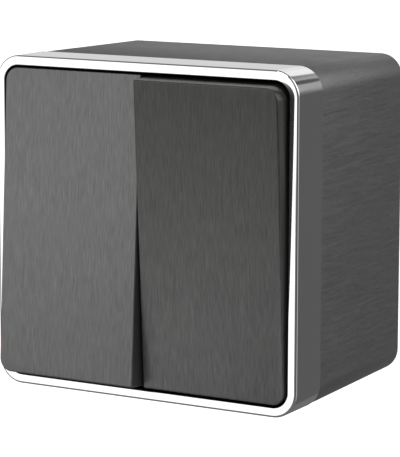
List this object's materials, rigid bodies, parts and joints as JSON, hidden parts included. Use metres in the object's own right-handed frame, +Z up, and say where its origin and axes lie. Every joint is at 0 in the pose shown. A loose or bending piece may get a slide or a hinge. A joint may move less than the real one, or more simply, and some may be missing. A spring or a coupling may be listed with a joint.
{
  "type": "rocker_wall_switch",
  "caption": "Surface-mounted two-gang rocker wall switch: brushed graphite rockers in a bright chrome frame on a graphite box, with its inner mechanism.",
  "frame": {"origin": "centre of the flat back of the box, which lies on the wall", "axes": "+X right as the front is seen, +Y into the wall, +Z up; the rockers face -Y"},
  "size_m": [0.082, 0.0616, 0.0804],
  "materials": {
    "graphite": "metallic graphite lacquer with a fine brushed grain",
    "chrome": "polished plating",
    "black_plastic": "fine matt moulding",
    "rubber": "soft matt rubber",
    "zinc_steel": "bright zinc plating on steel",
    "steel": "drawn steel",
    "housing_plastic": "matt thermoset moulding",
    "nylon": "natural nylon with a slight sheen",
    "brass": "rolled brass strip",
    "silver": "silver alloy contact"
  },
  "bodies": {
    "casing": {"mounting_box": "graphite", "cable_grommet": "rubber", "chrome_frame": "chrome", "retainer_frame": "black_plastic", "mounting_plate": "zinc_steel", "plate_screw_left": "zinc_steel", "plate_screw_right": "zinc_steel", "mechanism_base": "housing_plastic", "mechanism_cover": "housing_plastic", "mechanism_rivet_1": "steel", "mechanism_rivet_2": "steel", "mechanism_rivet_3": "steel", "mechanism_rivet_4": "steel", "rocker_axle": "steel", "common_contact": "brass", "fixed_contact_left": "brass", "fixed_contact_right": "brass", "fixed_rivet_left": "silver", "fixed_rivet_right": "silver", "terminal_clamp_left": "brass", "terminal_clamp_right": "brass", "terminal_clamp_common": "brass", "terminal_screw_left": "zinc_steel", "terminal_screw_right": "zinc_steel", "terminal_screw_common": "zinc_steel"},
    "left_rocker": {"left_rocker_cover": "graphite", "left_cradle": "nylon", "left_plunger_spring": "steel"},
    "left_plunger": {"left_plunger": "nylon"},
    "left_contact": {"left_moving_contact": "brass", "left_moving_rivet": "silver"},
    "right_rocker": {"right_rocker_cover": "graphite", "right_cradle": "nylon", "right_plunger_spring": "steel"},
    "right_plunger": {"right_plunger": "nylon"},
    "right_contact": {"right_moving_contact": "brass", "right_moving_rivet": "silver"}
  },
  "joints": [
    {"name": "left_rocker_tilt", "type": "hinge", "parent": "casing", "child": "left_rocker", "pos_m": [-0.0121, -0.05275, 0], "axis": [1, 0, 0], "range_deg": [0, 6.8]},
    {"name": "left_contact_tilt", "type": "hinge", "parent": "casing", "child": "left_contact", "pos_m": [-0.0121, -0.0369, 0], "axis": [1, 0, 0], "range_deg": [-15, 0]},
    {"name": "left_plunger_slide", "type": "slide", "parent": "left_rocker", "child": "left_plunger", "axis": [0, -0.9982, 0.0593], "range_m": [0, 0.0003], "stiffness_N_per_m": 800, "springref_m": -0.002},
    {"name": "right_rocker_tilt", "type": "hinge", "parent": "casing", "child": "right_rocker", "pos_m": [0.0121, -0.05275, 0], "axis": [1, 0, 0], "range_deg": [-6.8, 0]},
    {"name": "right_contact_tilt", "type": "hinge", "parent": "casing", "child": "right_contact", "pos_m": [0.0121, -0.0369, 0], "axis": [1, 0, 0], "range_deg": [0, 15]},
    {"name": "right_plunger_slide", "type": "slide", "parent": "right_rocker", "child": "right_plunger", "axis": [0, -0.9982, -0.0593], "range_m": [0, 0.0003], "stiffness_N_per_m": 800, "springref_m": -0.002}
  ],
  "couplings": [
    {"joint": "left_contact_tilt", "follows": "left_rocker_tilt", "ratio": -2.2},
    {"joint": "right_contact_tilt", "follows": "right_rocker_tilt", "ratio": -2.2}
  ]
}
